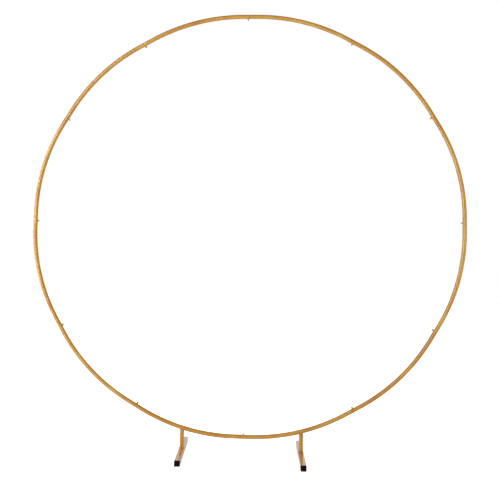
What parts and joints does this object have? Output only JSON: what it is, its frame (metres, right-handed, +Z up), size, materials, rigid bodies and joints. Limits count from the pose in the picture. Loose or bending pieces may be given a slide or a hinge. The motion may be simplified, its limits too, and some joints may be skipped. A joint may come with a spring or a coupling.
{
  "type": "flower hoop stand",
  "caption": "Floor-standing round tube hoop for flowers, balloons or drapes: plug-in ring tubes locked by thumb screws, on T-shaped feet that swivel.",
  "frame": {"origin": "on the floor, midway between the two feet and under the middle of the ring", "axes": "+X across the hoop to its right as seen from the front, -Y towards the front, +Z up"},
  "size_m": [2.0084, 0.4006, 2.0471],
  "materials": {
    "gold_paint": "satin gold paint over steel tube",
    "yellow_zinc": "yellow zinc plate",
    "bright_steel": "zinc plated thread",
    "black_plastic": "moulded, lightly satin"
  },
  "bodies": {
    "hoop": {"ring_tube_01": "gold_paint", "ring_tube_02": "gold_paint", "ring_tube_03": "gold_paint", "ring_tube_04": "gold_paint", "ring_tube_05": "gold_paint", "ring_tube_06": "gold_paint", "ring_tube_07": "gold_paint", "ring_tube_08": "gold_paint", "ring_tube_09": "gold_paint", "ring_tube_10": "gold_paint", "ring_tube_11": "gold_paint", "ring_tube_12": "gold_paint", "joint_nuts": "bright_steel", "leg_stub_left": "gold_paint", "leg_stub_right": "gold_paint"},
    "foot_left": {"leg_left": "gold_paint", "foot_bar_left": "gold_paint", "lock_boss_left": "gold_paint", "end_plug_left_front": "black_plastic", "end_plug_left_back": "black_plastic"},
    "foot_right": {"leg_right": "gold_paint", "foot_bar_right": "gold_paint", "lock_boss_right": "gold_paint", "end_plug_right_front": "black_plastic", "end_plug_right_back": "black_plastic"},
    "thread_01": {"screw_thread_01": "bright_steel"},
    "head_01": {"screw_head_01": "yellow_zinc"},
    "thread_02": {"screw_thread_02": "bright_steel"},
    "head_02": {"screw_head_02": "yellow_zinc"},
    "thread_03": {"screw_thread_03": "bright_steel"},
    "head_03": {"screw_head_03": "yellow_zinc"},
    "thread_04": {"screw_thread_04": "bright_steel"},
    "head_04": {"screw_head_04": "yellow_zinc"},
    "thread_05": {"screw_thread_05": "bright_steel"},
    "head_05": {"screw_head_05": "yellow_zinc"},
    "thread_06": {"screw_thread_06": "bright_steel"},
    "head_06": {"screw_head_06": "yellow_zinc"},
    "thread_07": {"screw_thread_07": "bright_steel"},
    "head_07": {"screw_head_07": "yellow_zinc"},
    "thread_08": {"screw_thread_08": "bright_steel"},
    "head_08": {"screw_head_08": "yellow_zinc"},
    "thread_09": {"screw_thread_09": "bright_steel"},
    "head_09": {"screw_head_09": "yellow_zinc"},
    "thread_10": {"screw_thread_10": "bright_steel"},
    "head_10": {"screw_head_10": "yellow_zinc"},
    "thread_11": {"screw_thread_11": "bright_steel"},
    "head_11": {"screw_head_11": "yellow_zinc"},
    "thread_12": {"screw_thread_12": "bright_steel"},
    "head_12": {"screw_head_12": "yellow_zinc"},
    "lock_thread_left": {"lock_thread_left": "bright_steel"},
    "lock_head_left": {"lock_head_left": "yellow_zinc"},
    "lock_thread_right": {"lock_thread_right": "bright_steel"},
    "lock_head_right": {"lock_head_right": "yellow_zinc"}
  },
  "joints": [
    {"name": "foot_left_swivel", "type": "hinge", "parent": "hoop", "child": "foot_left", "pos_m": [-0.27, 0, 0.08], "axis": [0, 0, 1], "continuous": true},
    {"name": "foot_right_swivel", "type": "hinge", "parent": "hoop", "child": "foot_right", "pos_m": [0.27, 0, 0.08], "axis": [0, 0, 1], "continuous": true},
    {"name": "screw_01_travel", "type": "slide", "parent": "hoop", "child": "thread_01", "axis": [0, 0, 1], "range_m": [0, 0.004]},
    {"name": "screw_01_turn", "type": "hinge", "parent": "thread_01", "child": "head_01", "pos_m": [0.01, 0, 0.0933], "axis": [0, 0, 1], "range_deg": [0, 1800]},
    {"name": "screw_02_travel", "type": "slide", "parent": "hoop", "child": "thread_02", "axis": [-0.489, 0, 0.8723], "range_m": [0, 0.004]},
    {"name": "screw_02_turn", "type": "hinge", "parent": "thread_02", "child": "head_02", "pos_m": [0.49805, 0, 0.22598], "axis": [-0.489, 0, 0.8723], "range_deg": [0, 1800]},
    {"name": "screw_03_travel", "type": "slide", "parent": "hoop", "child": "thread_03", "axis": [-0.8596, 0, 0.511], "range_m": [0, 0.004]},
    {"name": "screw_03_turn", "type": "hinge", "parent": "thread_03", "child": "head_03", "pos_m": [0.85622, 0, 0.5824], "axis": [-0.8596, 0, 0.511], "range_deg": [0, 1800]},
    {"name": "screw_04_travel", "type": "slide", "parent": "hoop", "child": "thread_04", "axis": [-1, 0, 0], "range_m": [0, 0.004]},
    {"name": "screw_04_turn", "type": "hinge", "parent": "thread_04", "child": "head_04", "pos_m": [0.98485, 0, 1.07054], "axis": [-1, 0, 0], "range_deg": [0, 1800]},
    {"name": "screw_05_travel", "type": "slide", "parent": "hoop", "child": "thread_05", "axis": [-0.8596, 0, -0.511], "range_m": [0, 0.004]},
    {"name": "screw_05_turn", "type": "hinge", "parent": "thread_05", "child": "head_05", "pos_m": [0.846, 0, 1.55587], "axis": [-0.8596, 0, -0.511], "range_deg": [0, 1800]},
    {"name": "screw_06_travel", "type": "slide", "parent": "hoop", "child": "thread_06", "axis": [-0.489, 0, -0.8723], "range_m": [0, 0.004]},
    {"name": "screw_06_turn", "type": "hinge", "parent": "thread_06", "child": "head_06", "pos_m": [0.48061, 0, 1.90488], "axis": [-0.489, 0, -0.8723], "range_deg": [0, 1800]},
    {"name": "screw_07_travel", "type": "slide", "parent": "hoop", "child": "thread_07", "axis": [0, 0, -1], "range_m": [0, 0.004]},
    {"name": "screw_07_turn", "type": "hinge", "parent": "thread_07", "child": "head_07", "pos_m": [-0.01, 0, 2.02778], "axis": [0, 0, -1], "range_deg": [0, 1800]},
    {"name": "screw_08_travel", "type": "slide", "parent": "hoop", "child": "thread_08", "axis": [0.489, 0, -0.8723], "range_m": [0, 0.004]},
    {"name": "screw_08_turn", "type": "hinge", "parent": "thread_08", "child": "head_08", "pos_m": [-0.49805, 0, 1.8951], "axis": [0.489, 0, -0.8723], "range_deg": [0, 1800]},
    {"name": "screw_09_travel", "type": "slide", "parent": "hoop", "child": "thread_09", "axis": [0.8596, 0, -0.511], "range_m": [0, 0.004]},
    {"name": "screw_09_turn", "type": "hinge", "parent": "thread_09", "child": "head_09", "pos_m": [-0.85622, 0, 1.53868], "axis": [0.8596, 0, -0.511], "range_deg": [0, 1800]},
    {"name": "screw_10_travel", "type": "slide", "parent": "hoop", "child": "thread_10", "axis": [1, 0, 0], "range_m": [0, 0.004]},
    {"name": "screw_10_turn", "type": "hinge", "parent": "thread_10", "child": "head_10", "pos_m": [-0.98485, 0, 1.05054], "axis": [1, 0, 0], "range_deg": [0, 1800]},
    {"name": "screw_11_travel", "type": "slide", "parent": "hoop", "child": "thread_11", "axis": [0.8596, 0, 0.511], "range_m": [0, 0.004]},
    {"name": "screw_11_turn", "type": "hinge", "parent": "thread_11", "child": "head_11", "pos_m": [-0.846, 0, 0.5652], "axis": [0.8596, 0, 0.511], "range_deg": [0, 1800]},
    {"name": "screw_12_travel", "type": "slide", "parent": "hoop", "child": "thread_12", "axis": [0.489, 0, 0.8723], "range_m": [0, 0.004]},
    {"name": "screw_12_turn", "type": "hinge", "parent": "thread_12", "child": "head_12", "pos_m": [-0.48061, 0, 0.2162], "axis": [0.489, 0, 0.8723], "range_deg": [0, 1800]},
    {"name": "lock_left_travel", "type": "slide", "parent": "foot_left", "child": "lock_thread_left", "axis": [-0.0732, 0.9973, 0], "range_m": [0, 0.004]},
    {"name": "lock_left_turn", "type": "hinge", "parent": "lock_thread_left", "child": "lock_head_left", "pos_m": [-0.27128, 0.01745, 0.08617], "axis": [-0.0732, 0.9973, 0], "range_deg": [0, 1800]},
    {"name": "lock_right_travel", "type": "slide", "parent": "foot_right", "child": "lock_thread_right", "axis": [-0.0262, 0.9997, 0], "range_m": [0, 0.004]},
    {"name": "lock_right_turn", "type": "hinge", "parent": "lock_thread_right", "child": "lock_head_right", "pos_m": [0.26954, 0.01749, 0.08617], "axis": [-0.0262, 0.9997, 0], "range_deg": [0, 1800]}
  ],
  "couplings": [
    {"joint": "screw_01_turn", "follows": "screw_01_travel", "rad_per_m": 7854},
    {"joint": "screw_02_turn", "follows": "screw_02_travel", "rad_per_m": 7854},
    {"joint": "screw_03_turn", "follows": "screw_03_travel", "rad_per_m": 7854},
    {"joint": "screw_04_turn", "follows": "screw_04_travel", "rad_per_m": 7854},
    {"joint": "screw_05_turn", "follows": "screw_05_travel", "rad_per_m": 7854},
    {"joint": "screw_06_turn", "follows": "screw_06_travel", "rad_per_m": 7854},
    {"joint": "screw_07_turn", "follows": "screw_07_travel", "rad_per_m": 7854},
    {"joint": "screw_08_turn", "follows": "screw_08_travel", "rad_per_m": 7854},
    {"joint": "screw_09_turn", "follows": "screw_09_travel", "rad_per_m": 7854},
    {"joint": "screw_10_turn", "follows": "screw_10_travel", "rad_per_m": 7854},
    {"joint": "screw_11_turn", "follows": "screw_11_travel", "rad_per_m": 7854},
    {"joint": "screw_12_turn", "follows": "screw_12_travel", "rad_per_m": 7854},
    {"joint": "lock_left_turn", "follows": "lock_left_travel", "rad_per_m": 7854},
    {"joint": "lock_right_turn", "follows": "lock_right_travel", "rad_per_m": 7854}
  ]
}
